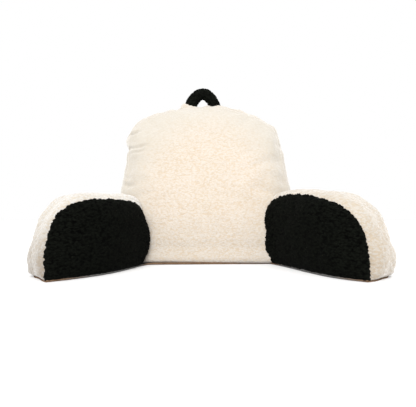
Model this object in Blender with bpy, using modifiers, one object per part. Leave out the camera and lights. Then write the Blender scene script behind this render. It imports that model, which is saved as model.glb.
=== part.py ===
"""Reading pillow with arms: a stuffed backrest with a stuffed arm on each side.

Metres, +Z up, standing on z = 0. The sitter leans on the face that looks along -Y,
between the two arms. Each stuffed body is a boxed cushion: an arch-shaped outline with
a flat foot, swept from one panel to the other through the seams of its boxing strip.
"""

from math import cos, radians, sin

import bmesh
import bpy
import numpy as np

# Place of the whole pillow: it moves the middle of its box to the origin.
PILLOW_X = -0.0074
PILLOW_Y = 0.0117

CLEARANCE = 0.0003
BASE_THICKNESS = 0.003
UNDERSIDE_Z = BASE_THICKNESS + CLEARANCE
SUBDIVISIONS = 1

# Backrest: its outline in front view, from the left foot over the top.
BACK_OUTLINE = (
    # x, z
    (-0.268, 0.000),
    (-0.275, 0.090),
    (-0.266, 0.200),
    (-0.252, 0.290),
    (-0.251, 0.365),
    (-0.233, 0.412),
    (-0.190, 0.446),
    (-0.116, 0.471),
    (-0.020, 0.481),
    (0.078, 0.473),
    (0.146, 0.450),
    (0.201, 0.410),
    (0.226, 0.355),
    (0.237, 0.290),
    (0.252, 0.200),
    (0.268, 0.090),
    (0.262, 0.000),
)
BACK_ARCH_CELLS = 34
BACK_FOOT_CELLS = 10
BACK_FRONT_FOOT_Y = 0.008
BACK_FRONT_TOP_Y = 0.090
BACK_REAR_FOOT_Y = 0.214
BACK_REAR_TOP_Y = 0.182
# Rings from the middle of the front panel to the middle of the rear panel. Inset is
# from the outline, lift from the foot, share from the front seam's plane (0) to the
# rear seam's (1), crown is along Y, and seam is 1 where the cloth is drawn in hard.
BACK_RINGS = (
    # inset, lift, share, crown, seam
    (0.200, 0.180, 0.00, -0.042, 0.0),
    (0.130, 0.105, 0.00, -0.040, 0.0),
    (0.075, 0.056, 0.00, -0.034, 0.0),
    (0.036, 0.022, 0.00, -0.022, 0.0),
    (0.013, 0.005, 0.00, -0.009, 0.0),
    (0.014, 0.000, 0.00, 0.003, 0.7),
    (0.000, 0.000, 0.16, 0.000, 0.0),
    (-0.002, 0.000, 0.50, 0.000, 0.0),
    (0.002, 0.000, 0.86, 0.000, 0.0),
    (0.020, 0.000, 1.00, -0.003, 0.7),
    (0.030, 0.016, 1.00, 0.010, 0.0),
    (0.080, 0.060, 1.00, 0.020, 0.0),
    (0.170, 0.150, 1.00, 0.024, 0.0),
)

# Arms: each has the outline of its inner face and the larger one of its boxing, both
# along the arm from its root and up from the foot.
LEFT_FACE = (
    # along, z
    (0.014, 0.000),
    (0.009, 0.045),
    (0.014, 0.085),
    (0.029, 0.128),
    (0.050, 0.155),
    (0.078, 0.169),
    (0.122, 0.175),
    (0.170, 0.174),
    (0.216, 0.169),
    (0.252, 0.159),
    (0.276, 0.138),
    (0.289, 0.104),
    (0.296, 0.056),
    (0.293, 0.000),
)
LEFT_BOXING = (
    # along, z
    (0.010, 0.000),
    (-0.006, 0.060),
    (-0.004, 0.140),
    (0.012, 0.188),
    (0.060, 0.200),
    (0.120, 0.196),
    (0.180, 0.191),
    (0.220, 0.181),
    (0.250, 0.157),
    (0.270, 0.126),
    (0.283, 0.080),
    (0.291, 0.040),
    (0.286, 0.000),
)
RIGHT_FACE = (
    # along, z
    (0.010, 0.000),
    (-0.004, 0.045),
    (-0.004, 0.100),
    (0.006, 0.150),
    (0.030, 0.177),
    (0.090, 0.185),
    (0.146, 0.183),
    (0.190, 0.177),
    (0.230, 0.164),
    (0.258, 0.145),
    (0.280, 0.117),
    (0.292, 0.080),
    (0.299, 0.040),
    (0.299, 0.000),
)
RIGHT_BOXING = (
    # along, z
    (0.010, 0.000),
    (-0.008, 0.060),
    (-0.008, 0.140),
    (0.006, 0.194),
    (0.060, 0.206),
    (0.120, 0.203),
    (0.180, 0.198),
    (0.220, 0.186),
    (0.252, 0.161),
    (0.274, 0.130),
    (0.293, 0.086),
    (0.306, 0.044),
    (0.298, 0.000),
)
ARM_ARCH_CELLS = 20
ARM_FOOT_CELLS = 6
ARMS = (
    # name, side, root x, root y, splay, tip thickness, face, boxing
    ("left", -1, 0.163, 0.000, radians(34.4), 0.095, LEFT_FACE, LEFT_BOXING),
    ("right", 1, 0.170, 0.005, radians(32.1), 0.106, RIGHT_FACE, RIGHT_BOXING),
)
ARM_ROOT_THICKNESS = 0.120
ARM_BOW = 0.031
# Rings from the middle of the inner face to the middle of the outer panel. Boxing is
# the share of the boxing's outline in the ring's.
ARM_RINGS = (
    # boxing, inset, lift, share, crown, seam
    (0.0, 0.052, 0.050, 0.00, -0.012, 0.0),
    (0.0, 0.018, 0.016, 0.00, -0.007, 0.0),
    (0.0, 0.000, 0.000, 0.00, 0.000, 1.0),
    (0.7, -0.006, 0.000, 0.22, 0.000, 0.0),
    (1.0, 0.000, 0.000, 0.78, 0.000, 0.0),
    (1.0, 0.014, 0.000, 1.00, -0.002, 0.7),
    (1.0, 0.024, 0.016, 1.00, 0.008, 0.0),
    (1.0, 0.058, 0.052, 1.00, 0.015, 0.0),
)
FACING_RIM = 0.004
FACING_MIDDLE = 0.009

# Carry loop: a padded tube bent to an arch across the top of the backrest.
LOOP_POINTS = (
    # x, z
    (-0.034, 0.440),
    (-0.034, 0.480),
    (-0.030, 0.500),
    (-0.016, 0.515),
    (0.000, 0.519),
    (0.016, 0.515),
    (0.030, 0.500),
    (0.034, 0.480),
    (0.034, 0.440),
)
LOOP_X = -0.016
LOOP_Y = 0.115
LOOP_TUBE_WIDTH = 0.034
LOOP_TUBE_DEPTH = 0.026

BASE_MARGIN = 0.003

CREAM = (0.84, 0.76, 0.64, 1.0)
BLACK = (0.012, 0.013, 0.011, 1.0)
CHARCOAL_BROWN = (0.16, 0.12, 0.09, 1.0)


def clear_scene():
    for obj in list(bpy.data.objects):
        bpy.data.objects.remove(obj)


def new_collection(name):
    collection = bpy.data.collections.new(name)
    bpy.context.scene.collection.children.link(collection)
    return collection


def cloth_material(name, colour, roughness):
    material = bpy.data.materials.new(name)
    material.use_nodes = True
    shader = material.node_tree.nodes["Principled BSDF"]
    shader.inputs["Base Color"].default_value = colour
    shader.inputs["Roughness"].default_value = roughness
    shader.inputs["Metallic"].default_value = 0.0
    return material


def smooth_curve(points, steps=24):
    """Catmull-Rom curve through the points: on each span it is the cubic whose end
    slopes are half the chord between the neighbours of that end."""
    p = np.asarray(points, float)
    p = np.vstack([2 * p[0] - p[1], p, 2 * p[-1] - p[-2]])
    t = np.linspace(0, 1, steps, endpoint=False)[:, None]
    spans = []
    for a, b, c, d in zip(p[:-3], p[1:-2], p[2:-1], p[3:]):
        slope = (c - a) * t / 2
        square = (2 * a - 5 * b + 4 * c - d) * t**2 / 2
        cube = (3 * b - a - 3 * c + d) * t**3 / 2
        spans.append(b + slope + square + cube)
    return np.vstack(spans + [p[-2:-1]])


def evenly(path, cells):
    """Points at equal distances along a path."""
    steps = np.linalg.norm(np.diff(path, axis=0), axis=1)
    length = np.concatenate([[0], np.cumsum(steps)])
    at = np.linspace(0, length[-1], cells + 1)
    return np.column_stack([np.interp(at, length, column) for column in path.T])


def closed_outline(points, arch_cells, foot_cells):
    """The arch through the points, then the foot line back to its start."""
    arch = evenly(smooth_curve(points), arch_cells)
    share = np.linspace(0, 1, foot_cells + 1)[1:-1, None]
    return np.vstack([arch, arch[-1] + (arch[0] - arch[-1]) * share])


def fitted(outline, inset, lift):
    """The outline squeezed into its own box less inset at both sides and the top, and
    less lift at the foot."""
    low = outline.min(axis=0)
    size = outline.max(axis=0) - low
    across = low[0] + inset + (outline[:, 0] - low[0]) * (1 - 2 * inset / size[0])
    up = UNDERSIDE_Z + lift + outline[:, 1] * (1 - (inset + lift + UNDERSIDE_Z) / size[1])
    return across, up


def back_depth(across, up, share):
    """Depth of the backrest's seams: both lean with height."""
    height = up / BACK_OUTLINE[len(BACK_OUTLINE) // 2][1]
    front = BACK_FRONT_FOOT_Y + (BACK_FRONT_TOP_Y - BACK_FRONT_FOOT_Y) * height
    rear = BACK_REAR_FOOT_Y + (BACK_REAR_TOP_Y - BACK_REAR_FOOT_Y) * height
    return front + (rear - front) * share


def arm_depth(length, tip_thickness):
    """Depth of an arm's seams: its inner face bows toward the sitter between its root
    and its tip, and the arm narrows to its tip."""

    def depth(across, up, share):
        along = np.clip(across / length, 0, 1)
        thickness = ARM_ROOT_THICKNESS + (tip_thickness - ARM_ROOT_THICKNESS) * along**2
        return share * thickness - (1 - share) * ARM_BOW * np.sin(np.pi * along)

    return depth


def section(outline, depth, row):
    """One ring of a cushion: the fitted outline at its depth."""
    inset, lift, share, crown = row
    across, up = fitted(outline, inset, lift)
    return np.column_stack([across, depth(across, up, share) + crown, up])


def loft(name, rings, seams, arch_cells, collection, material):
    """Closed cage through the rings, with a face over the first and over the last. A
    seam creases its ring, and the foot between the first and last seam is sharp."""
    bm = bmesh.new()
    crease = bm.edges.layers.float.new("crease_edge")
    loops = [[bm.verts.new(point) for point in ring] for ring in rings]
    count = len(loops[0])
    for lower, upper in zip(loops[:-1], loops[1:]):
        for k in range(count):
            after = (k + 1) % count
            bm.faces.new((lower[k], lower[after], upper[after], upper[k]))
    bm.faces.new(loops[0][::-1])
    bm.faces.new(loops[-1])
    for loop, seam in zip(loops, seams):
        if seam:
            for k in range(count):
                edge = bm.edges.get((loop[k], loop[(k + 1) % count]))
                edge[crease] = seam if k < arch_cells else 1.0
    flat = [k for k, seam in enumerate(seams) if seam]
    for lower, upper in zip(loops[flat[0] : flat[-1]], loops[flat[0] + 1 : flat[-1] + 1]):
        for corner in (0, arch_cells):
            bm.edges.get((lower[corner], upper[corner]))[crease] = 1.0
    bmesh.ops.recalc_face_normals(bm, faces=bm.faces)
    obj = object_from_bmesh(name, bm, collection, material)
    soften = obj.modifiers.new("Soft form", "SUBSURF")
    soften.levels = SUBDIVISIONS
    soften.render_levels = SUBDIVISIONS
    # Faces that lie a clearance apart have to be split along the same diagonals.
    split = obj.modifiers.new("Same diagonals", "TRIANGULATE")
    split.quad_method = "SHORTEST_DIAGONAL"
    return obj


def object_from_bmesh(name, bm, collection, material):
    mesh = bpy.data.meshes.new(name)
    bm.to_mesh(mesh)
    bm.free()
    mesh.shade_smooth()
    mesh.materials.append(material)
    obj = bpy.data.objects.new(name, mesh)
    collection.objects.link(obj)
    return obj


def backrest_rings():
    outline = closed_outline(BACK_OUTLINE, BACK_ARCH_CELLS, BACK_FOOT_CELLS)
    return [section(outline, back_depth, row[:4]) for row in BACK_RINGS]


def make_backrest(collection, material):
    seams = [row[-1] for row in BACK_RINGS]
    rings = backrest_rings()
    return loft("back_cushion", rings, seams, BACK_ARCH_CELLS, collection, material)


def arm_rings(tip_thickness, face, boxing):
    depth = arm_depth(face[-1][0], tip_thickness)
    face = closed_outline(face, ARM_ARCH_CELLS, ARM_FOOT_CELLS)
    boxing = closed_outline(boxing, ARM_ARCH_CELLS, ARM_FOOT_CELLS)
    return [
        section(face + (boxing - face) * row[0], depth, row[1:5]) for row in ARM_RINGS
    ]


def facing_rings(inner):
    """Rings of the facing from the middle of its back to the middle of its front. Its
    back follows the arm's inner face, and its pile is thicker away from its rim."""
    toward_sitter = np.array([0.0, -1.0, 0.0])
    back = [ring + CLEARANCE * toward_sitter for ring in inner]
    pile = [FACING_MIDDLE] * (len(inner) - 1) + [FACING_RIM]
    front = [ring + depth * toward_sitter for ring, depth in zip(back, pile)]
    return back + front[::-1]


def make_arm(arm, collection, cream, black):
    """An arm cushion and its facing. Its own X runs from root to tip and its own Y away
    from the sitter, or toward the sitter on the left arm, whose side is -1."""
    name, side, root_x, root_y, splay, *shape = arm
    rings = arm_rings(*shape)
    seams = [row[-1] for row in ARM_RINGS]
    inner_seam = seams.index(1.0)
    facing = facing_rings(rings[: inner_seam + 1])
    facing_seams = [float(k in (inner_seam, inner_seam + 1)) for k in range(len(facing))]
    mirror = np.array([1.0, side, 1.0])
    made = []
    for node, loops, creases, material in (
        ("arm_cushion_" + name, rings, seams, cream),
        ("arm_facing_" + name, facing, facing_seams, black),
    ):
        loops = [ring * mirror for ring in loops]
        obj = loft(node, loops, creases, ARM_ARCH_CELLS, collection, material)
        obj.location = (side * root_x, root_y, 0.0)
        obj.rotation_euler.z = side * splay - radians(90)
        made.append(obj)
    return made


def make_loop(collection, material):
    """Carry loop: a bevelled curve whose round section is pressed flatter along Y."""
    points = evenly(smooth_curve(LOOP_POINTS), 16)
    curve = bpy.data.curves.new("carry_loop", "CURVE")
    curve.dimensions = "3D"
    curve.bevel_depth = LOOP_TUBE_WIDTH / 2
    curve.bevel_resolution = 4
    curve.use_fill_caps = True
    spline = curve.splines.new("POLY")
    spline.points.add(len(points) - 1)
    for point, (x, z) in zip(spline.points, points):
        point.co = (x, 0.0, z, 1.0)
    guide = bpy.data.objects.new("carry_loop_path", curve)
    collection.objects.link(guide)
    evaluated = guide.evaluated_get(bpy.context.evaluated_depsgraph_get())
    bm = bmesh.new()
    bm.from_mesh(bpy.data.meshes.new_from_object(evaluated).copy())
    bpy.data.objects.remove(guide)
    bmesh.ops.remove_doubles(bm, verts=bm.verts, dist=1e-5)
    bmesh.ops.scale(bm, verts=bm.verts, vec=(1.0, LOOP_TUBE_DEPTH / LOOP_TUBE_WIDTH, 1.0))
    bmesh.ops.recalc_face_normals(bm, faces=bm.faces)
    obj = object_from_bmesh("carry_loop", bm, collection, material)
    obj.location = (LOOP_X, LOOP_Y, 0.0)
    return obj


def sewn_rings(rings, table):
    """The rings from the first seam to the last, whose feet lie on the base panel."""
    seams = [k for k, row in enumerate(table) if row[-1]]
    return rings[seams[0] : seams[-1] + 1]


def arm_plan(arm):
    """Plan of an arm's foot: the inner seam from root to tip, round the tip, and the
    outer seam back to the root."""
    _, side, root_x, root_y, splay, *shape = arm
    rings = sewn_rings(arm_rings(*shape), ARM_RINGS)
    inner = np.vstack([rings[0][ARM_ARCH_CELLS:], rings[0][:1]])[::-1]
    inner[:, 1] -= FACING_RIM + BASE_MARGIN
    tip = [ring[ARM_ARCH_CELLS] + (BASE_MARGIN, 0, 0) for ring in rings[:-1]]
    outer = [rings[-1][ARM_ARCH_CELLS], rings[-1][0]]
    along, out, _ = np.vstack([inner, tip, outer]).T
    x = root_x + along * sin(splay) + out * cos(splay)
    y = root_y - along * cos(splay) + out * sin(splay)
    return np.column_stack([side * x, y])


def base_plan():
    """Plan of the base panel: the feet of the three cushions, with a small margin."""
    left, right = (arm_plan(arm) for arm in ARMS)
    rings = sewn_rings(backrest_rings(), BACK_RINGS)[-2:]
    rear_right = np.array([ring[BACK_ARCH_CELLS, :2] for ring in rings])
    rear_left = np.array([ring[0, :2] for ring in rings[::-1]])
    return np.vstack([left[::-1], right, rear_right, rear_left])


def make_base(collection, material):
    """Base panel: a flat filled outline with a thickness."""
    curve = bpy.data.curves.new("base_panel", "CURVE")
    curve.dimensions = "2D"
    curve.fill_mode = "BOTH"
    curve.extrude = BASE_THICKNESS / 2
    spline = curve.splines.new("POLY")
    plan = base_plan()
    spline.points.add(len(plan) - 1)
    for point, (x, y) in zip(spline.points, plan):
        point.co = (x, y, 0.0, 1.0)
    spline.use_cyclic_u = True
    curve.materials.append(material)
    obj = bpy.data.objects.new("base_panel", curve)
    obj.location.z = BASE_THICKNESS / 2
    collection.objects.link(obj)
    return obj


def inflated_copy(obj, collection):
    """A cutter: the object grown by the clearance on every side."""
    cutter = obj.copy()
    cutter.data = obj.data.copy()
    cutter.name = obj.name + "_cutter"
    grow = cutter.modifiers.new("Clearance", "DISPLACE")
    grow.strength = CLEARANCE
    grow.mid_level = 0.0
    cutter.hide_render = True
    cutter.display_type = "WIRE"
    collection.objects.link(cutter)
    return cutter


def cut_back(obj, cutter):
    """Cuts away what of the object lies inside the cutter."""
    cut = obj.modifiers.new("Fits the backrest", "BOOLEAN")
    cut.operation = "DIFFERENCE"
    cut.object = cutter


def main():
    clear_scene()
    parts = new_collection("reading_pillow")
    cutters = new_collection("cutters")
    cream = cloth_material("cream_pile", CREAM, 0.95)
    black = cloth_material("black_pile", BLACK, 0.9)
    base = cloth_material("base_cloth", CHARCOAL_BROWN, 0.9)
    backrest = make_backrest(parts, cream)
    fitted_to_back = [make_loop(parts, black)]
    for arm in ARMS:
        fitted_to_back += make_arm(arm, parts, cream, black)
    cutter = inflated_copy(backrest, cutters)
    for obj in fitted_to_back:
        cut_back(obj, cutter)
    make_base(parts, base)
    pillow = bpy.data.objects.new("pillow", None)
    pillow.location = (PILLOW_X, PILLOW_Y, 0.0)
    parts.objects.link(pillow)
    for obj in list(parts.objects) + list(cutters.objects):
        if obj is not pillow:
            obj.parent = pillow


main()
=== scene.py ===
"""Reading pillow with arms, in cream and black curly pile.

Metres, +Z up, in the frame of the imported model. Each cushion starts as the shape that
its panels are cut and sewn to, is filled by a cloth simulation, and then gets its seams
and its pile as geometry. The finest curls, their colour and their sheen are in the
materials.
"""

from dataclasses import dataclass, replace
from math import cos, radians, sin

import bmesh
import bpy
import numpy as np
from mathutils import Matrix, Vector

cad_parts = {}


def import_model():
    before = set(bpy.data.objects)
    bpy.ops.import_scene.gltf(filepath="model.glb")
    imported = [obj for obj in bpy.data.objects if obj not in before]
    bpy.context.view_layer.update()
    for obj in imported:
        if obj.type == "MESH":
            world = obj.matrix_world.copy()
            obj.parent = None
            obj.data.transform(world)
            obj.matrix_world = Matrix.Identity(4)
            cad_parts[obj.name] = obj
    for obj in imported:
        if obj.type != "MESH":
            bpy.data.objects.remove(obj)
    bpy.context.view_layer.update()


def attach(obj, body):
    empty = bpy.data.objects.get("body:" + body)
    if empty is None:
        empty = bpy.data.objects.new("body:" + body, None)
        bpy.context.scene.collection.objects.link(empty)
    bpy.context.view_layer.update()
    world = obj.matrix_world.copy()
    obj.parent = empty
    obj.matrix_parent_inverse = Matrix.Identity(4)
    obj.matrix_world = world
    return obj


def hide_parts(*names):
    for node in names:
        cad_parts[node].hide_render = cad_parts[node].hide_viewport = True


# Origin of the pillow's tables in the model's frame, and height of the cushions' underside.
PILLOW = np.array([-0.0074, 0.0117, 0.0])
UNDERSIDE_Z = 0.0033
# Height above it over which the pile sets in, and the backrest's seams and creases.
PILE_FADE = 0.006
RELIEF_FADE = 0.02

# Camera: its place, its tilt above level, and its focal length and sensor in mm.
CAMERA_PLACE = (-0.0074, -0.8643, 0.137)
CAMERA_TILT = radians(1.93)
CAMERA_LENS = 27.0
CAMERA_SENSOR = 36.0
SUNS = (
    # name, direction of its light, energy, angle
    ("key", (0.13, 0.84, -0.53), 3.1, radians(35)),
    ("fill", (-0.15, -0.70, -0.70), 0.8, radians(70)),
)
SOFT_BOX_PLACE = (0.0, -1.0, 0.75)
SOFT_BOX_AIM = (0.0, 0.05, 0.3)
SOFT_BOX_SIZE = 0.6
SOFT_BOX_ENERGY = 5.0
FLOOR_RADIUS = 6.0
FLOOR_RINGS = 24
FLOOR_SPOKES = 64
FLOOR_TONE = 0.76

# Backrest: its outline in front view, from the left foot over the top.
BACK_OUTLINE = (
    # x, z
    (-0.268, 0.0), (-0.275, 0.09), (-0.266, 0.2), (-0.252, 0.29), (-0.251, 0.365),
    (-0.233, 0.411), (-0.193, 0.444), (-0.118, 0.469), (-0.022, 0.481), (0.036, 0.481),
    (0.08, 0.47), (0.146, 0.446), (0.203, 0.411), (0.226, 0.355), (0.237, 0.29), (0.252, 0.2),
    (0.268, 0.09), (0.262, 0.0),
)
# Depth of its front and rear seams, and its cells along the foot and up a side.
BACK_FRONT_FOOT_Y = 0.008
BACK_FRONT_TOP_Y = 0.090
BACK_REAR_FOOT_Y = 0.214
BACK_REAR_TOP_Y = 0.182
BACK_CELLS = (54, 36)
# Its rings, from the border of the front panel's core to that of the rear panel's. Square
# is how far a ring is drawn towards a rectangle.
BACK_FRONT = (
    # boxing, square, inset, lift, share, crown
    (0.0, 0.55, 0.085, 0.066, 0.00, -0.036),
    (0.0, 0.25, 0.055, 0.038, 0.00, -0.030),
    (0.0, 0.05, 0.028, 0.016, 0.00, -0.018),
    (0.0, 0.00, 0.013, 0.005, 0.00, -0.008),
    (0.0, 0.00, 0.013, 0.000, 0.00, 0.002),
)
BACK_BOXING = (
    BACK_FRONT[-1],
    (0.0, 0.00, 0.001, 0.000, 0.16, 0.000),
    (0.0, 0.00, -0.002, 0.000, 0.50, 0.000),
    (0.0, 0.00, 0.002, 0.000, 0.86, 0.000),
    (0.0, 0.00, 0.018, 0.000, 1.00, -0.003),
)
BACK_REAR = (
    BACK_BOXING[-1],
    (0.0, 0.05, 0.030, 0.016, 1.00, 0.009),
    (0.0, 0.30, 0.055, 0.040, 1.00, 0.015),
    (0.0, 0.55, 0.085, 0.066, 1.00, 0.018),
)
# Rows of cells in each table, the crowns of the two cores, and the boxing's depth.
BACK_LOOPS = (10, 20, 7)
BACK_CORE_CROWN = (-0.007, 0.004)
BACK_BOXING_DEPTH = 0.20

# Arms: the outline of the inner face and that of the boxing, both along the arm from its
# root and up from the foot.
LEFT_FACE = (
    # along, z
    (0.05, 0.0), (0.033, 0.014), (0.018, 0.034), (0.01, 0.062), (0.014, 0.09), (0.03, 0.121),
    (0.051, 0.15), (0.08, 0.165), (0.122, 0.169), (0.17, 0.169), (0.211, 0.167), (0.244, 0.157),
    (0.27, 0.138), (0.284, 0.106), (0.293, 0.056), (0.293, 0.0),
)
LEFT_BOXING = (
    (0.01, 0.0), (-0.006, 0.06), (-0.004, 0.132), (0.012, 0.176), (0.06, 0.186), (0.12, 0.182),
    (0.176, 0.18), (0.208, 0.179), (0.231, 0.17), (0.247, 0.155), (0.266, 0.126), (0.281, 0.08),
    (0.291, 0.04), (0.287, 0.0),
)
RIGHT_FACE = (
    (0.036, 0.0), (0.008, 0.016), (-0.006, 0.038), (-0.009, 0.067), (0.0, 0.101),
    (0.012, 0.145), (0.034, 0.171), (0.088, 0.184), (0.146, 0.182), (0.188, 0.175),
    (0.226, 0.164), (0.256, 0.148), (0.281, 0.121), (0.295, 0.082), (0.3, 0.04), (0.301, 0.0),
)
RIGHT_BOXING = (
    (0.01, 0.0), (-0.008, 0.06), (-0.008, 0.14), (0.006, 0.188), (0.06, 0.198), (0.12, 0.194),
    (0.178, 0.187), (0.217, 0.183), (0.252, 0.164), (0.28, 0.135), (0.299, 0.087),
    (0.311, 0.044), (0.304, 0.0),
)
ARMS = (
    # name, side, root x, root y, splay, bow and its skew, tip thickness, face, boxing
    ("left", -1, 0.1632, -0.001, radians(34.4), (0.031, 1.2), 0.095, LEFT_FACE, LEFT_BOXING),
    ("right", 1, 0.1627, 0.010, radians(32.8), (0.022, 2.0), 0.106, RIGHT_FACE, RIGHT_BOXING),
)
ARM_ROOT_THICKNESS = 0.120
ARM_CELLS = (40, 24)
ARM_FRONT = (
    # boxing, square, inset, lift, share, crown
    (0.0, 0.25, 0.040, 0.036, 0.00, -0.011),
    (0.0, 0.08, 0.018, 0.015, 0.00, -0.007),
    (0.0, 0.00, 0.000, 0.000, 0.00, 0.000),
)
ARM_BOXING = (
    ARM_FRONT[-1],
    (0.7, 0.00, -0.006, 0.000, 0.22, 0.000),
    (1.0, 0.00, -0.002, 0.000, 0.52, 0.000),
    (1.0, 0.00, 0.000, 0.000, 0.78, 0.000),
    (1.0, 0.00, 0.014, 0.000, 1.00, -0.002),
)
ARM_REAR = (
    ARM_BOXING[-1],
    (1.0, 0.05, 0.024, 0.016, 1.00, 0.007),
    (1.0, 0.20, 0.040, 0.036, 1.00, 0.011),
)
ARM_LOOPS = (6, 14, 5)
ARM_CORE_CROWN = (-0.003, 0.004)

# Carry loop: its middle line with the width there, its place, its depth, and its cells
# along and around.
LOOP_POINTS = (
    # x, z, width
    (-0.0395, 0.466, 0.04), (-0.039, 0.484, 0.039), (-0.03, 0.503, 0.036),
    (-0.015, 0.518, 0.035), (0.0, 0.522, 0.035), (0.0145, 0.5165, 0.035),
    (0.028, 0.5015, 0.035), (0.0355, 0.484, 0.037), (0.0365, 0.466, 0.038),
)
LOOP_X = -0.0155
LOOP_Y = 0.115
LOOP_DEPTH = 0.026
LOOP_CELLS = (84, 56)

# Lumps (out) and dents (in) of the filling along the backrest's outline.
BACK_LUMPS = (
    # x, z, radius, out
    (-0.148, 0.468, 0.013, -0.003), (-0.1, 0.474, 0.012, -0.005), (-0.0755, 0.48, 0.012, 0.011),
    (-0.0535, 0.484, 0.016, 0.008), (-0.02, 0.482, 0.014, -0.004), (0.01, 0.484, 0.009, -0.002),
    (0.033, 0.48, 0.01, 0.004), (0.1, 0.466, 0.015, 0.004), (0.15, 0.448, 0.014, 0.003),
    (0.186, 0.424, 0.012, -0.003), (0.206, 0.4, 0.014, 0.003), (0.222, 0.341, 0.012, -0.005),
    (0.236, 0.312, 0.014, 0.002), (-0.262, 0.374, 0.016, 0.004), (-0.256, 0.336, 0.014, -0.008),
    (-0.262, 0.304, 0.013, 0.001), (-0.25, 0.396, 0.009, -0.004),
)
LUMP_MIDDLE_Y = 0.11
LUMP_DEPTH = 0.075
# Creases of the cover, between two points of the front view.
BACK_CREASES = (
    # x, z, to x, to z, width, depth
    (-0.262, 0.330, -0.172, 0.336, 0.0055, 0.0042),
    (-0.240, 0.316, -0.178, 0.323, 0.0050, 0.0032),
    (-0.254, 0.378, -0.206, 0.384, 0.0050, 0.0060),
    (-0.270, 0.226, -0.212, 0.214, 0.0080, 0.0030),
    (-0.262, 0.246, -0.222, 0.240, 0.0060, 0.0020),
    (0.236, 0.338, 0.206, 0.344, 0.0070, 0.0012),
)
# A crease's winding and its ridges' width by its own width; the ridges' height by its depth,
# and a gain for what they take from the valley.
CREASE_WINDING = 0.3
CREASE_RIDGE_WIDTH = 2.2
CREASE_RIDGE_HEIGHT = 0.45
CREASE_GAIN = 1.6

# How far the bottoms of the stuffed bodies are drawn in, and over what height.
BACK_TUCK = 0.010
BACK_TUCK_HEIGHT = 0.016
ARM_TUCK = 0.007
ARM_TUCK_HEIGHT = 0.010
# How far the foot of the backrest's front reaches forward, over what height and depth.
BACK_FOOT_REACH = 0.029
BACK_FOOT_REACH_HEIGHT = 0.050
BACK_FOOT_REACH_DEPTH = 0.08
# Plainer pile toward the backrest's outline, paler and cooler there with painted sheen, with
# lower curls and a weaker bump: the ellipse that it follows, between which shares of it the
# change lies, and what is lost on the boxing.
EDGE_HALF_WIDTH = 0.25
EDGE_MIDDLE_Z = 0.17
EDGE_HEIGHT = 0.30
EDGE_FADE = (0.50, 1.02)
EDGE_BOXING_LOSS = 0.7

# Base panel: its cells along and across, its margin round the feet and its thickness.
BASE_CELLS = (160, 20)
BASE_MARGIN = 0.001
BASE_CLOTH = 0.002
# How far along an arm its inner corner lies.
BASE_CORNER = 0.022
# Inner border of the base panel: how far out and up it is turned.
BASE_RIM = (
    # out, share of the height
    (0.0012, 0.05), (0.002, 0.25), (0.0022, 0.6), (0.0016, 1.0),
)
# Height of that border, by the share of the way from the left arm's tip to the right's.
BASE_RIM_HEIGHTS = (
    # share, height
    (0.0, 0.001), (0.08, 0.0032), (0.13, 0.0014), (0.3, 0.0014), (0.33, 0.0037), (0.6, 0.0037),
    (0.66, 0.0056), (0.8, 0.005), (1.0, 0.001),
)

# Cloth of the covers, what blows them up and for how long, how often the moves are
# averaged for the even swelling and the wrinkles, and how far the seams hold.
COVER_CLOTH = {
    "quality": 6,
    "mass": 0.3,
    "tension_stiffness": 12,
    "compression_stiffness": 12,
    "shear_stiffness": 6,
    "bending_stiffness": 1.2,
}
COVER_PRESSURE = 4.0
COVER_SLACK = 0.03
COVER_FRAMES = 22
SWELLING_SPREAD = 90
WRINKLE_SPREAD = 3
SEAM_REACH = 0.02
# Gathers round a seam, and by what share of its depth they vary it.
GATHERS = 46
GATHER_SHARE = 0.35
# Gap between a piece and the backrest that it is sewn to.
SEWN_GAP = 0.0006

# Facings: thickness at the rim and inside, how far in the rim reaches, and the gap behind.
FACING_RIM = 0.003
FACING_PILE = 0.008
FACING_RIM_WIDTH = 0.006
FACING_GAP = 0.0004
# Tufts at the rim: curls' heights that they add, their reach, and their loss at the tip.
RIM_TUFTS = 3.2
RIM_WIDTH = 0.004
RIM_TIP_LOSS = 0.4
RIM_TIP_FADE = (0.15, 0.25)
# Tufts beside the backrest: their height, and where along the arm they end.
ROOT_TUFTS = 0.0050
ROOT_FADE = (0.03, 0.09)
WHITE = (1.0, 1.0, 1.0)
# Cream pile between the curls, darker there with painted shade, and on them. Each piece has
# its own copy, tinted with painted light and shade; the arms' copies are painted a little darker.
SHADED_HOLLOW = (0.42, 0.345, 0.26)
TIP = (0.465, 0.425, 0.375)
# The plainer pile's painted sheen: its tone, as a share of a mix of hollow and tip, and how much
# shows.
EDGE_SHEEN_TONE = np.array([0.838, 0.903, 0.943])
EDGE_SHEEN_TIP_SHARE = 0.6
EDGE_SHEEN_SHARE = 0.7
# Height below which painted shade darkens the pile to its foot tone, and a share of that as a
# painted contact shadow at the floor.
PAINTED_SHADE_HEIGHT = 0.17
CONTACT_SHADOW_TONE = 0.88
CREAM_LIT_TONES = {
    # painted light tone, painted shade tone at the foot, low and high end of the curls' relief
    # that the tones span
    "back": ((0.985, 0.985, 1.0), (0.90, 0.91, 0.92), (0.45, 1.0)),
    "left": ((0.90, 0.965, 1.05), (0.56, 0.52, 0.48), (0.50, 0.88)),
    "right": ((0.84, 0.86, 0.875), (0.85, 0.82, 0.79), (0.50, 0.88)),
}
# Curls: size, height, the level that stays in place, how far a noise of what size bends
# them, width over height, the arms' share of the height, and the height on the loop.
NUB_SIZE = 0.0075
NUB_HEIGHT = 0.0016
NUB_LEVEL = 0.45
NUB_BEND = 0.0022
NUB_BEND_SIZE = 0.011
NUB_NAP = 1.6
ARM_NUBS = 1.6
LOOP_NUB_HEIGHT = 0.0042
# Seeds of the curls. Those of a facing and of its root tufts are added to the arm's.
SEEDS = {"back": 3, "left": 11, "right": 23, "loop": 61}
FACING_SEED = 40
ROOT_SEED = 60


# Curves and grids


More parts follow.
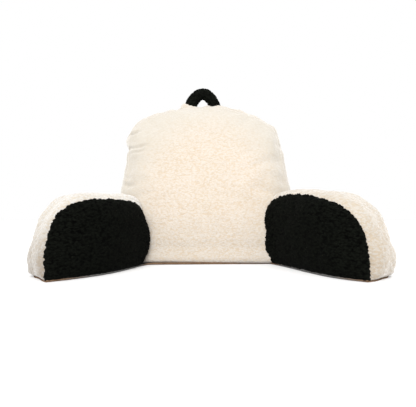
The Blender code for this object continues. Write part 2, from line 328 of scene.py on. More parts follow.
def refine(points, times, closed=False):
    """Catmull-Rom along the first axis: each span gets times cells. On a span it is the
    cubic whose end slopes are half the chord between the neighbours of that end."""
    p = np.asarray(points, float)
    if closed:
        p = np.concatenate([p[-1:], p, p[:2]])
    else:
        p = np.concatenate([2 * p[:1] - p[1:2], p, 2 * p[-1:] - p[-2:-1]])
    t = (np.arange(times) / times).reshape(-1, *[1] * (p.ndim - 1))
    a, b, c, d = (p[k : len(p) - 3 + k, None] for k in range(4))
    spans = b + (c - a) * t / 2 + (2 * a - 5 * b + 4 * c - d) * t**2 / 2
    spans = spans + (3 * b - a - 3 * c + d) * t**3 / 2
    fine = spans.reshape(-1, *p.shape[1:])
    return fine if closed else np.concatenate([fine, p[-2:-1]])


def evenly(path, cells):
    """Points at equal distances along a path."""
    steps = np.linalg.norm(np.diff(path, axis=0), axis=1)
    length = np.concatenate([[0], np.cumsum(steps)])
    at = np.linspace(0, length[-1], cells + 1)
    return np.column_stack([np.interp(at, length, column) for column in path.T])


def closed_outline(points, cells):
    """The arch through the points, then the foot line back to its start. Cells are those
    of the foot and of a side; the top has as many as the foot."""
    foot_cells, side_cells = cells
    arch = evenly(refine(points, 24), foot_cells + 2 * side_cells)
    share = np.linspace(0, 1, foot_cells + 1)[1:-1, None]
    return np.vstack([arch, arch[-1] + (arch[0] - arch[-1]) * share])


def box_outline(cells):
    """The unit box with the same count of points, its corners at the core's corners."""
    foot, side = (np.arange(count) / count for count in cells)
    left = np.column_stack([0 * side, side])
    top = np.column_stack([foot, 0 * foot + 1])
    return np.vstack([left, top, 1 - left, 1 - top])


def ring(face, boxing, depth, cells, row):
    """One ring of a cushion: its outline squeezed into its own box less the inset at
    both sides and the top and less the lift at the foot, at its depth."""
    boxed, square, inset, lift, share, crown = row
    outline = face + (boxing - face) * boxed
    low = outline.min(axis=0)
    size = outline.max(axis=0) - low
    low = low + (inset, 0.0)
    fitted = size - (2 * inset, inset + lift + UNDERSIDE_Z)
    unit = (outline - outline.min(axis=0)) / size
    flat = low + unit * fitted
    flat = flat + (low + box_outline(cells) * fitted - flat) * square
    across, up = flat[:, 0], flat[:, 1] + UNDERSIDE_Z + lift
    return np.column_stack([across, depth(across, up, share) + crown, up])


def rows_between(table, count, size):
    """Rows at equal distances along a table of rings. Size turns its share to metres."""
    weight = np.array([1e-9, 1e-9, 1.0, 0.3, size, 1.0])
    curve = refine(np.array(table, float), 12)
    return evenly(curve * weight, count) / weight


def core(loop, cells, crown):
    """Grid inside a closed loop: the sum of the two ruled surfaces between opposite
    sides, less the bilinear one, with a crown of (1 - u^2)(1 - v^2) along Y."""
    foot_cells, side_cells = cells
    index = core_index(np.arange(len(loop)), cells, 0)
    left, right = loop[index[:, 0]][:, None], loop[index[:, -1]][:, None]
    foot, top = loop[index[0]][None], loop[index[-1]][None]
    u = np.linspace(0, 1, foot_cells + 1)[None, :, None]
    v = np.linspace(0, 1, side_cells + 1)[:, None, None]
    grid = (1 - u) * left + u * right + (1 - v) * foot + v * top
    grid = grid - (1 - v) * ((1 - u) * left[:1] + u * right[:1])
    grid = grid - v * ((1 - u) * left[-1:] + u * right[-1:])
    rise = (1 - (2 * u[..., 0] - 1) ** 2) * (1 - (2 * v[..., 0] - 1) ** 2)
    grid[..., 1] += crown * rise
    return grid


def core_index(loop, cells, first):
    """Vertex numbers of a core grid: its border is the loop's, its inside is new."""
    foot, side = cells
    grid = np.empty((side + 1, foot + 1), int)
    inside = (side - 1) * (foot - 1)
    grid[1:-1, 1:-1] = first + np.arange(inside).reshape(side - 1, foot - 1)
    grid[:, 0] = loop[: side + 1]
    grid[-1] = loop[side : side + foot + 1]
    grid[:, -1] = loop[side + foot : 2 * side + foot + 1][::-1]
    grid[0] = np.append(loop[2 * side + foot :], loop[0])[::-1]
    return grid


def quads(index):
    """The cells of a grid of vertex numbers."""
    a, b, c, d = index[:-1, :-1], index[:-1, 1:], index[1:, 1:], index[1:, :-1]
    return np.stack([a, b, c, d], axis=-1).reshape(-1, 4)


@dataclass
class Cushion:
    """A closed body: a core grid in the middle of each panel, and loops that run from
    the border of the first core over both seams to the border of the second."""

    first: np.ndarray
    loops: np.ndarray
    last: np.ndarray
    cells: tuple
    seams: tuple

    def vertices(self):
        """All points: those of the loops, then the insides of the two cores."""
        inside = [grid[1:-1, 1:-1].reshape(-1, 3) for grid in (self.first, self.last)]
        return np.concatenate([self.loops.reshape(-1, 3), *inside])

    def indices(self):
        """Vertex numbers of the first core, the loops and the last core."""
        count = self.loops.shape[0] * self.loops.shape[1]
        loops = np.arange(count).reshape(self.loops.shape[:2])
        first = core_index(loops[0], self.cells, count)
        last = core_index(loops[-1], self.cells, first.max() + 1)
        return first, loops, last

    def faces(self):
        first, loops, last = self.indices()
        around = np.concatenate([loops, loops[:, :1]], axis=1)
        return np.concatenate([quads(around), quads(first), quads(last)])

    def moved(self, points):
        """The same cushion with its vertices at the points."""
        first, loops, last = self.indices()
        return replace(self, first=points[first], loops=points[loops], last=points[last])

    def refined(self, times):
        """Each cell becomes times by times; the surface stays creased at the seams."""
        cells = tuple(count * times for count in self.cells)
        loops = refine(self.loops.swapaxes(0, 1), times, closed=True).swapaxes(0, 1)
        cuts = (0, *self.seams, len(loops) - 1)
        spans = [refine(loops[a : b + 1], times) for a, b in zip(cuts, cuts[1:])]
        loops = np.concatenate([spans[0], *[span[1:] for span in spans[1:]]])
        cores = []
        for grid, border in ((self.first, loops[0]), (self.last, loops[-1])):
            grid = refine(refine(grid, times).swapaxes(0, 1), times).swapaxes(0, 1)
            edge = core_index(np.arange(len(border)), cells, 0)
            for part in (np.s_[0], np.s_[-1], np.s_[:, 0], np.s_[:, -1]):
                grid[part] = border[edge[part]]
            cores.append(grid)
        seams = tuple(seam * times for seam in self.seams)
        return Cushion(cores[0], loops, cores[1], cells, seams)

    def on_first_panel(self):
        """1 for the vertices of the first panel and its seam, and 0 for the others."""
        first, loops, _ = self.indices()
        share = np.zeros(len(self.vertices()))
        share[first] = 1.0
        share[loops[: self.seams[0] + 1]] = 1.0
        return share

    def seam_distance(self):
        """Distance of each vertex from the nearest seam, along its line of loops."""
        steps = np.linalg.norm(np.diff(self.loops, axis=0), axis=2)
        at = np.concatenate([np.zeros((1, steps.shape[1])), np.cumsum(steps, axis=0)])
        near = np.min([np.abs(at - at[seam]) for seam in self.seams], axis=0)
        inside = (self.cells[0] - 1) * (self.cells[1] - 1)
        return np.concatenate([near.ravel(), np.full(2 * inside, 1.0)])

    def loop_share(self):
        """Position of each vertex round its loop, from 0 to 1, and 0 in the cores."""
        count, around = self.loops.shape[:2]
        inside = (self.cells[0] - 1) * (self.cells[1] - 1)
        share = np.tile(np.arange(around) / around, count)
        return np.concatenate([share, np.zeros(2 * inside)])


# Noise


def hashed(cell, seed):
    """Three numbers from 0 to 1 for each integer cell, the same on every run."""
    key = cell.astype(np.uint64) + np.uint64(1 << 20)
    mixed = key[..., 0] * np.uint64(73856093)
    mixed ^= key[..., 1] * np.uint64(19349663)
    mixed ^= key[..., 2] * np.uint64(83492791)
    mixed ^= np.uint64(seed * 2654435761)
    values = []
    for shift in (13, 7, 17):
        mixed ^= mixed >> np.uint64(shift)
        mixed *= np.uint64(0x9E3779B97F4A7C15)
        values.append((mixed >> np.uint64(40)).astype(float) / (1 << 24))
    return np.stack(values, axis=-1)


def value_noise(points, size, seed=0):
    """Smooth noise from -1 to 1: random values at the corners of a grid of the given
    size, blended by 3t^2 - 2t^3."""
    at = points / size
    cell = np.floor(at)
    t = at - cell
    t = t * t * (3 - 2 * t)
    total = np.zeros(len(points))
    for corner in np.ndindex(2, 2, 2):
        weight = np.prod(np.where(corner, t, 1 - t), axis=1)
        total += weight * hashed(cell.astype(np.int64) + corner, seed)[:, 0]
    return total * 2 - 1


def cell_distance(points, size, seed=0):
    """Distance to the nearest of one random point in each cell, over the cell's size."""
    at = points / size
    cell = np.floor(at).astype(np.int64)
    nearest = np.full(len(points), 9.0)
    for offset in np.ndindex(3, 3, 3):
        neighbour = cell + offset - 1
        gap = neighbour + hashed(neighbour, seed) - at
        nearest = np.minimum(nearest, np.einsum("ij,ij->i", gap, gap))
    return np.sqrt(nearest)


def nubs(points, seed):
    """Height of the curly pile from 0, between the curls, to 1: round bumps about the
    points of a cell noise whose space is warped so that the curls vary in size. The
    curls are wider than high, as the nap has been brushed down."""
    points = points * (1.0, 1.0, NUB_NAP)
    warp = [value_noise(points, NUB_BEND_SIZE, seed + k) for k in range(3)]
    bent = points + NUB_BEND * np.column_stack(warp)
    bump = np.clip(1 - cell_distance(bent, NUB_SIZE, seed) ** 2 / 0.75, 0, 1)
    small = np.clip(1 - cell_distance(bent, NUB_SIZE * 0.55, seed + 5) ** 2 / 0.7, 0, 1)
    return 0.72 * bump + 0.28 * small


# Meshes


def added(name, data):
    """New object with its data, linked to the scene."""
    obj = bpy.data.objects.new(name, data)
    bpy.context.scene.collection.objects.link(obj)
    return obj


def mesh_object(name, vertices, faces, material=None):
    """Smooth mesh with outward normals. A quad that names a vertex twice is a triangle."""
    mesh = bpy.data.meshes.new(name)
    faces = [tuple(dict.fromkeys(face)) for face in faces.tolist()]
    mesh.from_pydata(vertices.tolist(), [], faces)
    bm = bmesh.new()
    bm.from_mesh(mesh)
    bmesh.ops.recalc_face_normals(bm, faces=bm.faces)
    bm.to_mesh(mesh)
    bm.free()
    mesh.shade_smooth()
    if material:
        mesh.materials.append(material)
    return added(name, mesh)


def positions(mesh, kind="co"):
    """Places of a mesh's vertices, or their vectors of another kind."""
    values = np.empty(len(mesh.vertices) * 3)
    mesh.vertices.foreach_get(kind, values)
    return values.reshape(-1, 3)


def normals(mesh):
    return positions(mesh, "normal")


def set_positions(mesh, points):
    mesh.vertices.foreach_set("co", points.ravel())
    mesh.update()


def keep_value(mesh, name, values):
    attribute = mesh.attributes.new(name, "FLOAT", "POINT")
    attribute.data.foreach_set("value", values.astype(np.float32))


def apply_modifiers(obj):
    evaluated = obj.evaluated_get(bpy.context.evaluated_depsgraph_get())
    mesh = bpy.data.meshes.new_from_object(evaluated)
    obj.modifiers.clear()
    obj.data = mesh


def stopped_at(obj, other, axis, gap):
    """Slides whatever of the object lies inside the other one forward along the
    object's own axis, as far as the other one's surface."""
    wrap = obj.modifiers.new("Sewn on", "SHRINKWRAP")
    wrap.target = other
    wrap.wrap_method = "PROJECT"
    wrap.use_project_x = axis == "x"
    wrap.use_project_z = axis == "z"
    wrap.use_positive_direction = True
    wrap.use_negative_direction = False
    wrap.project_limit = 0.2
    wrap.offset = gap
    apply_modifiers(obj)


def spread(values, faces, times):
    """Values averaged with those of their neighbours, again and again."""
    after = np.roll(faces, -1, axis=1)
    here = np.concatenate([faces.ravel(), after.ravel()])
    there = np.concatenate([after.ravel(), faces.ravel()])
    count = np.bincount(here, minlength=len(values))[:, None]
    for _ in range(times):
        total = [np.bincount(here, column[there], len(values)) for column in values.T]
        values = (values + np.stack(total, axis=-1) / count) / 2
    return values


def filled(cushion, name, held, foot, cap):
    """The cushion after its cover is blown up with the held vertices still: pressure with
    cloth cut larger by slack, and no point moved further than cap. The panels are
    already as full as the real ones, so most of the even swelling is taken off again,
    and the wrinkles and puckers stay. They fade out below the height foot."""
    before = cushion.vertices()
    obj = mesh_object(name, before, cushion.faces())
    sewn = obj.vertex_groups.new(name="sewn")
    sewn.add(np.nonzero(held)[0].tolist(), 1.0, "REPLACE")
    cloth = obj.modifiers.new("Cover", "CLOTH")
    settings = cloth.settings
    for setting, value in COVER_CLOTH.items():
        setattr(settings, setting, value)
    settings.vertex_group_mass = "sewn"
    settings.shrink_min = -COVER_SLACK
    settings.use_pressure = True
    settings.uniform_pressure_force = COVER_PRESSURE
    settings.effector_weights.gravity = 0.0
    cloth.collision_settings.use_collision = False
    cloth.point_cache.frame_end = COVER_FRAMES
    scene = bpy.context.scene
    for frame_number in range(1, COVER_FRAMES + 1):
        scene.frame_set(frame_number)
    evaluated = obj.evaluated_get(bpy.context.evaluated_depsgraph_get())
    move = positions(evaluated.to_mesh()) - before
    evaluated.to_mesh_clear()
    bpy.data.objects.remove(obj)
    scene.frame_set(1)
    swelling = spread(move, cushion.faces(), SWELLING_SPREAD)
    near = cushion.seam_distance()
    free = 1 - np.exp(-near / SEAM_REACH)
    move = spread(move, cushion.faces(), WRINKLE_SPREAD)
    loose = smooth(before[:, 2], 0.0, foot) * smooth(near, 0, SEAM_REACH)
    loose = loose * ~held
    move = (move - swelling * free[:, None]) * loose[:, None]
    length = np.linalg.norm(move, axis=1, keepdims=True)
    move = move * np.minimum(1, cap / np.maximum(length, 1e-9))
    return cushion.moved(before + move)


# Materials


def node(tree, kind, **settings):
    """New node. A setting that starts with in_ is the value of the input it names."""
    made = tree.nodes.new(kind)
    for name, value in settings.items():
        if name.startswith("in_"):
            key = name[3:]
            made.inputs[int(key) if key.isdigit() else key].default_value = value
        else:
            setattr(made, name, value)
    return made


def new_material(name):
    """Material, its node tree and its shader."""
    material = bpy.data.materials.new(name)
    material.use_nodes = True
    tree = material.node_tree
    return material, tree, tree.nodes["Principled BSDF"]


def node_at(where, tree, kind, **settings):
    """New node whose vector is the place where."""
    made = node(tree, kind, **settings)
    tree.links.new(where, made.inputs["Vector"])
    return made


def mix(tree, kind, factor, a, b, blend_type="MIX"):
    """Mix of a and b by the factor. Each is an output of another node or a value."""
    made = node(tree, "ShaderNodeMix", data_type=kind, blend_type=blend_type)
    for name, value in (("Factor", factor), ("A", a), ("B", b)):
        if isinstance(value, bpy.types.NodeSocket):
            tree.links.new(value, made.inputs[name])
        else:
            made.inputs[name].default_value = value
    return made.outputs["Result"]


def ramp(tree, source, stops):
    """Colour of a value by straight lines between the stops."""
    made = tree.nodes.new("ShaderNodeValToRGB")
    elements = made.color_ramp.elements
    while len(elements) < len(stops):
        elements.new(0.5)
    for element, (position, colour) in zip(elements, stops):
        element.position = position
        element.color = (*colour, 1.0)
    tree.links.new(source, made.inputs["Fac"])
    return made.outputs["Color"]


def pile_material(name, shaded_hollow, tip, tint, sheen, specular, contrast, foot):
    """Curly pile: darker between the curls than on them, as painted shade, with a broad drift
    of colour, and a bump of small curls over the modelled ones. Up to a given height painted
    shade darkens it to the tone foot by 3t^2 - 2t^3, most at the floor as a painted contact
    shadow. By the attribute edge, which only the backrest has, the pile is plainer and less
    warm with painted sheen, and its bump is weaker."""
    material, tree, shader = new_material(name)
    link = tree.links.new
    where = tree.nodes.new("ShaderNodeTexCoord").outputs["Object"]
    brushed = node_at(where, tree, "ShaderNodeMapping", in_Scale=(1.0, 1.0, 1.9)).outputs["Vector"]
    warp = node_at(brushed, tree, "ShaderNodeTexNoise", in_Scale=110.0, in_Detail=2.0)
    bent = mix(tree, "VECTOR", 0.014, brushed, warp.outputs["Color"])
    heights = []
    for scale, smoothness in ((150.0, 0.5), (420.0, 0.3)):
        curls = node_at(bent, tree, "ShaderNodeTexVoronoi", feature="SMOOTH_F1", in_Scale=scale)
        curls.inputs["Smoothness"].default_value = smoothness
        heights.append(curls.outputs["Distance"])
    fuzz = node_at(where, tree, "ShaderNodeTexNoise", in_Scale=1500.0, in_Detail=3.0)
    depth = node(tree, "ShaderNodeMath", operation="MULTIPLY_ADD", in_1=0.45)
    link(heights[1], depth.inputs[0])
    link(heights[0], depth.inputs[2])
    # Painted shade: the hollows between the curls are darker than the curls' tips.
    low, high = contrast
    shade = ramp(tree, depth.outputs["Value"], ((low, tip), (high, shaded_hollow)))
    # Painted sheen: toward the backrest's outline the colour goes to a paler, cooler mean of
    # hollow and tip.
    edge = node(tree, "ShaderNodeAttribute", attribute_name="edge").outputs["Fac"]
    share = node(tree, "ShaderNodeMath", operation="MULTIPLY", in_1=EDGE_SHEEN_SHARE)
    link(edge, share.inputs[0])
    mean = np.array(shaded_hollow) * (1 - EDGE_SHEEN_TIP_SHARE) + np.array(tip) * EDGE_SHEEN_TIP_SHARE
    shade = mix(tree, "RGBA", share.outputs["Value"], shade, (*(mean * EDGE_SHEEN_TONE), 1.0))
    drift = node_at(where, tree, "ShaderNodeTexNoise", in_Scale=9.0, in_Detail=3.0)
    broad = ramp(tree, drift.outputs["Fac"], ((0.35, tint), (0.65, WHITE)))
    shade = mix(tree, "RGBA", 1.0, shade, broad, "MULTIPLY")
    split = node_at(where, tree, "ShaderNodeSeparateXYZ")
    # Painted shade: the pile darkens toward the floor, most at the floor as a painted contact
    # shadow.
    height = node(tree, "ShaderNodeMapRange", interpolation_type="SMOOTHSTEP")
    height.inputs["From Max"].default_value = PAINTED_SHADE_HEIGHT
    link(split.outputs["Z"], height.inputs["Value"])
    contact_shadow = tuple(np.multiply(foot, CONTACT_SHADOW_TONE))
    tones = ((0.0, contact_shadow), (0.04, foot), (1.0, WHITE))
    rise = ramp(tree, height.outputs["Result"], tones)
    link(mix(tree, "RGBA", 1.0, shade, rise, "MULTIPLY"), shader.inputs["Base Color"])
    first = node(tree, "ShaderNodeBump", invert=True, in_Distance=0.0016)
    strength = node(tree, "ShaderNodeMapRange")
    strength.inputs["To Min"].default_value = 0.6
    strength.inputs["To Max"].default_value = 0.35
    link(edge, strength.inputs["Value"])
    link(strength.outputs["Result"], first.inputs["Strength"])
    link(depth.outputs["Value"], first.inputs["Height"])
    second = node(tree, "ShaderNodeBump", in_Strength=0.4, in_Distance=0.0004)
    link(fuzz.outputs["Fac"], second.inputs["Height"])
    link(first.outputs["Normal"], second.inputs["Normal"])
    link(second.outputs["Normal"], shader.inputs["Normal"])
    shader.inputs["Roughness"].default_value = 0.95
    shader.inputs["Specular IOR Level"].default_value = specular
    shader.inputs["Sheen Weight"].default_value = sheen
    shader.inputs["Sheen Roughness"].default_value = 0.5
    return material


def cream_pile(piece):
    """Cream pile with the painted light and shade of a piece."""
    lit_tone, foot, contrast = CREAM_LIT_TONES[piece]
    return pile_material(
        "cream_curls_" + piece,
        shaded_hollow=tuple(np.multiply(SHADED_HOLLOW, lit_tone)),
        tip=tuple(np.multiply(TIP, lit_tone)),
        tint=(0.98, 0.975, 0.96),
        sheen=0.6,
        specular=0.1,
        contrast=contrast,
        foot=foot,
    )


def black_pile(name, lit_gain):
    """Black pile, lighter by the given factor as painted light."""
    return pile_material(
        name,
        shaded_hollow=tuple(np.multiply((0.0002, 0.0002, 0.0001), lit_gain)),
        tip=tuple(np.multiply((0.0034, 0.0040, 0.0028), lit_gain)),
        tint=(0.85, 0.85, 0.85),
        sheen=0.006 * lit_gain,
        specular=0.03,
        contrast=(0.45, 1.0),
        foot=WHITE,
    )


def woven_material(name, dark, light, shade_grey):
    """Plain woven cloth: crossed waves of threads, with a little mottling. It is grey under
    the arms, but not at their tips: painted shade of the arms."""
    material, tree, shader = new_material(name)
    link = tree.links.new
    where = tree.nodes.new("ShaderNodeTexCoord").outputs["Object"]
    warp = node_at(where, tree, "ShaderNodeTexWave", in_Scale=420.0, bands_direction="X")
    weft = node_at(where, tree, "ShaderNodeTexWave", in_Scale=420.0, bands_direction="Y")
    mottle = node_at(where, tree, "ShaderNodeTexNoise", in_Scale=60.0, in_Detail=4.0)
    cross = node(tree, "ShaderNodeMath", operation="MULTIPLY")
    link(warp.outputs["Fac"], cross.inputs[0])
    link(weft.outputs["Fac"], cross.inputs[1])
    mixed = node(tree, "ShaderNodeMath", operation="MULTIPLY_ADD", in_1=0.5)
    link(cross.outputs["Value"], mixed.inputs[0])
    link(mottle.outputs["Fac"], mixed.inputs[2])
    colour = ramp(tree, mixed.outputs["Value"], ((0.3, dark), (1.0, light)))
    # Painted shade: the cloth turns grey in the arms' shade beside the backrest.
    outward = node(tree, "ShaderNodeMath", operation="ABSOLUTE")
    link(node_at(where, tree, "ShaderNodeSeparateXYZ").outputs["X"], outward.inputs["Value"])
    none = (0.0, 0.0, 0.0)
    stops = ((0.17, none), (0.185, WHITE), (0.26, WHITE), (0.31, none))
    beside = ramp(tree, outward.outputs["Value"], stops)
    greyed = mix(tree, "RGBA", beside, colour, (*shade_grey, 1.0))
    link(greyed, shader.inputs["Base Color"])
    bump = node(tree, "ShaderNodeBump", in_Strength=0.4, in_Distance=0.0004)
    link(cross.outputs["Value"], bump.inputs["Height"])
    link(bump.outputs["Normal"], shader.inputs["Normal"])
    shader.inputs["Roughness"].default_value = 0.9
    shader.inputs["Specular IOR Level"].default_value = 0.2
    return material


# Pieces


def back_depth(across, up, share):
    """Depth by height on the straight lines of the front and rear seams, share 0 and 1."""
    height = up / BACK_OUTLINE[len(BACK_OUTLINE) // 2][1]
    front = BACK_FRONT_FOOT_Y + (BACK_FRONT_TOP_Y - BACK_FRONT_FOOT_Y) * height
    rear = BACK_REAR_FOOT_Y + (BACK_REAR_TOP_Y - BACK_REAR_FOOT_Y) * height
    return front + (rear - front) * share


def arm_depth(length, bow, tip_thickness):
    """Depth of an arm's seams: its inner face bows toward the sitter between its root
    and its tip, by height sin(pi s^skew) at the share s of its length, and the arm
    narrows to its tip."""
    height, skew = bow

    def depth(across, up, share):
        along = np.clip(across / length, 0, 1)
        thickness = ARM_ROOT_THICKNESS + (tip_thickness - ARM_ROOT_THICKNESS) * along**2
        return share * thickness - (1 - share) * height * np.sin(np.pi * along**skew)

    return depth


def sewn_cushion(face, boxing, depth, cells, tables, counts, size, crowns):
    """The shape that a cushion's panels are cut and sewn to."""
    face = closed_outline(face, cells)
    boxing = closed_outline(boxing, cells)
    spans = [rows_between(*pair, size) for pair in zip(tables, counts)]
    rows = np.concatenate([spans[0], *[span[1:] for span in spans[1:]]])
    loops = np.array([ring(face, boxing, depth, cells, row) for row in rows])
    first = core(loops[0], cells, crowns[0])
    last = core(loops[-1], cells, crowns[1])
    seams = (counts[0], counts[0] + counts[1])
    return Cushion(first, loops, last, cells, seams)


def held_vertices(cushion):
    """Seams and the flat underside, which the simulation leaves still."""
    points = cushion.vertices()
    return (cushion.seam_distance() < 1e-6) | (points[:, 2] < UNDERSIDE_Z + 1e-5)


def pile_surface(obj, seed, mask=1.0, depth=NUB_HEIGHT):
    """Moves each vertex along its normal by depth times its nub's height less the level
    of the surface, times the mask. Nothing goes below the underside."""
    mesh = obj.data
    points = positions(mesh)
    rise = (nubs(points, seed) - NUB_LEVEL) * depth * mask
    moved = points + normals(mesh) * rise[:, None]
    moved[:, 2] = np.where(points[:, 2] > UNDERSIDE_Z + 1e-4, moved[:, 2], points[:, 2])
    moved[:, 2] = np.maximum(moved[:, 2], UNDERSIDE_Z)
    set_positions(mesh, moved)


def seam_channel(cushion, depth, width):
    """How far each vertex is drawn in at the seams: a valley of e^-(distance/width)^2,
    deeper where the thread gathers the cloth, by a sine round the seam."""
    near = cushion.seam_distance()
    gather = 1 + GATHER_SHARE * np.sin(2 * np.pi * GATHERS * cushion.loop_share())
    return depth * gather * np.exp(-((near / width) ** 2))


def sewn_backrest():
    """The backrest before it is filled: its bottom is drawn in at the rear and its sides,
    and the foot of its front reaches forward."""
    tables = (BACK_FRONT, BACK_BOXING, BACK_REAR)
    cushion = sewn_cushion(
        *(BACK_OUTLINE, BACK_OUTLINE, back_depth, BACK_CELLS),
        *(tables, BACK_LOOPS, BACK_BOXING_DEPTH, BACK_CORE_CROWN),
    )
    across, deep, up = cushion.vertices().T
    rear = smooth(deep, BACK_FRONT_FOOT_Y, BACK_REAR_FOOT_Y)
    drawn = tuck(up, BACK_TUCK, BACK_TUCK_HEIGHT) * rear
    across = across - drawn * np.clip(across / BACK_OUTLINE[-1][0], -1, 1) ** 3
    foot = 1 - smooth(up, 0.0, BACK_FOOT_REACH_HEIGHT)
    foot = foot * (1 - smooth(deep, 0.0, BACK_FOOT_REACH_DEPTH))
    deep = deep - drawn - BACK_FOOT_REACH * foot
    return cushion.moved(np.column_stack([across, deep, up]))


def lumps(points):
    """How far each point of the backrest is pushed out: a bell of (x, z) about each
    lump, times a bell of depth about the middle of the boxing."""
    x, y, z = (points - PILLOW).T
    deep = np.exp(-(((y - LUMP_MIDDLE_Y) / LUMP_DEPTH) ** 2))
    out = np.zeros(len(points))
    for at_x, at_z, radius, height in BACK_LUMPS:
        out += height * np.exp(-((x - at_x) ** 2 + (z - at_z) ** 2) / radius**2)
    return out * deep


def creases(points, table):
    """How far each point lies in a crease: a valley across the line between its ends,
    with a low ridge on either side, that fades at both ends."""
    x, y, z = points.T
    drawn = np.zeros(len(points))
    for x0, z0, x1, z1, width, depth in table:
        run = np.hypot(x1 - x0, z1 - z0)
        along = ((x - x0) * (x1 - x0) + (z - z0) * (z1 - z0)) / run**2
        off = ((x - x0) * (z1 - z0) - (z - z0) * (x1 - x0)) / run
        off = off + CREASE_WINDING * width * np.sin(9.0 * along)
        valley = np.exp(-((off / width) ** 2))
        ridges = CREASE_RIDGE_HEIGHT * np.exp(-((off / (CREASE_RIDGE_WIDTH * width)) ** 2))
        fade = smooth(along, -0.15, 0.25) * (1 - smooth(along, 0.6, 1.1))
        drawn += depth * CREASE_GAIN * (valley - ridges) * fade
    return drawn * (1 - smooth(y, 0.08, 0.16))


def make_backrest(material):
    """Backrest: filled, then drawn in at its seams and creases, pushed out at its lumps,
    and covered with curls, lower near its outline and higher on the boxing."""
    cushion = sewn_backrest()
    held = held_vertices(cushion)
    cushion = filled(cushion, "back_cover", held, foot=0.15, cap=0.012).refined(3)
    points = cushion.vertices() + PILLOW
    obj = mesh_object("backrest", points, cushion.faces(), material)
    draw = seam_channel(cushion, 0.003, 0.006) - lumps(points)
    draw += creases(points, BACK_CREASES)
    draw *= above_foot(points[:, 2], RELIEF_FADE)
    set_positions(obj.data, points - normals(obj.data) * draw[:, None])
    above = above_foot(points[:, 2], PILE_FADE)
    # Edge: where painted sheen makes the pile paler and cooler, and its curls lower and its bump
    # weaker.
    x, y, z = (points - PILLOW).T
    high = np.maximum(z - EDGE_MIDDLE_Z, 0) / EDGE_HEIGHT
    edge = smooth(np.hypot(x / EDGE_HALF_WIDTH, high), *EDGE_FADE)
    edge *= 1 - EDGE_BOXING_LOSS * smooth(y, 0.08, 0.11)
    keep_value(obj.data, "edge", edge)
    boxing = smooth(y, 0.05, 0.10) * (1 - smooth(y, 0.15, 0.19))
    mask = above * (1 - 0.4 * edge) * (1 + 0.9 * boxing)
    pile_surface(obj, SEEDS["back"], mask)
    finished(obj, "back_cushion")
    return obj


def arm_frame(arm):
    """Frame of an arm: its X runs from root to tip, and its Y away from the sitter, or
    toward the sitter on the left arm, whose side is -1."""
    _, side, root_x, root_y, splay, *_ = arm
    place = Vector((side * root_x, root_y, 0.0)) + Vector(PILLOW)
    return Matrix.Translation(place) @ Matrix.Rotation(side * splay - radians(90), 4, "Z")


def placed(points, arm):
    """Points of an arm in the model's frame."""
    frame = np.array(arm_frame(arm))
    return points * (1, arm[1], 1) @ frame[:3, :3].T + frame[:3, 3]


def tuck(up, width, height):
    """How far the bottom of a stuffed body is drawn in: a quarter of an ellipse."""
    share = 1 - above_foot(up, height)
    return width * (1 - np.sqrt(1 - share**2))


def above_foot(up, height):
    """0 at the underside and 1 from the height above it, straight between them."""
    return np.clip((up - UNDERSIDE_Z) / height, 0, 1)


def smooth(value, low, high):
    """0 up to low, 1 from high, and 3t^2 - 2t^3 between them."""
    t = np.clip((value - low) / (high - low), 0, 1)
    return t * t * (3 - 2 * t)


def facing_of(cushion, toward, tufts):
    """The facing on a cushion's first panel: its front, its rim and its back. It thins
    to its rim by e^-(distance/width), and its front stands higher by the tufts."""
    seam = cushion.seams[0]
    first, numbers, _ = cushion.indices()
    near = np.exp(-cushion.seam_distance() / FACING_RIM_WIDTH)
    pile = FACING_PILE + (FACING_RIM - FACING_PILE) * near + tufts
    front = cushion.vertices() + toward * pile[:, None]
    back = cushion.vertices() + toward * FACING_GAP
    loops = numbers[: seam + 1]
    return Cushion(
        front[first],
        np.concatenate([front[loops], back[loops[::-1]]]),
        back[first],
        cushion.cells,
        (seam, seam + 1),
    )


def sewn_arm(arm):
    """An arm before it is filled, along X, with its bottom tucked in at the outer side
    and at the tip."""
    *_, bow, tip_thickness, face, boxing = arm
    tables = (ARM_FRONT, ARM_BOXING, ARM_REAR)
    length = face[-1][0]
    depth = arm_depth(length, bow, tip_thickness)
    cushion = sewn_cushion(
        face, boxing, depth, ARM_CELLS, tables, ARM_LOOPS, tip_thickness, ARM_CORE_CROWN
    )
    along, out, up = cushion.vertices().T
    outer = smooth(out, 0.0, 0.8 * tip_thickness)
    end = smooth(out, -0.005, 0.03) * smooth(along, 0.5 * length, 0.95 * length)
    along = along - tuck(up, ARM_TUCK, ARM_TUCK_HEIGHT) * end
    out = out - tuck(up, ARM_TUCK, ARM_TUCK_HEIGHT) * outer
    return cushion.moved(np.column_stack([along, out, up]))


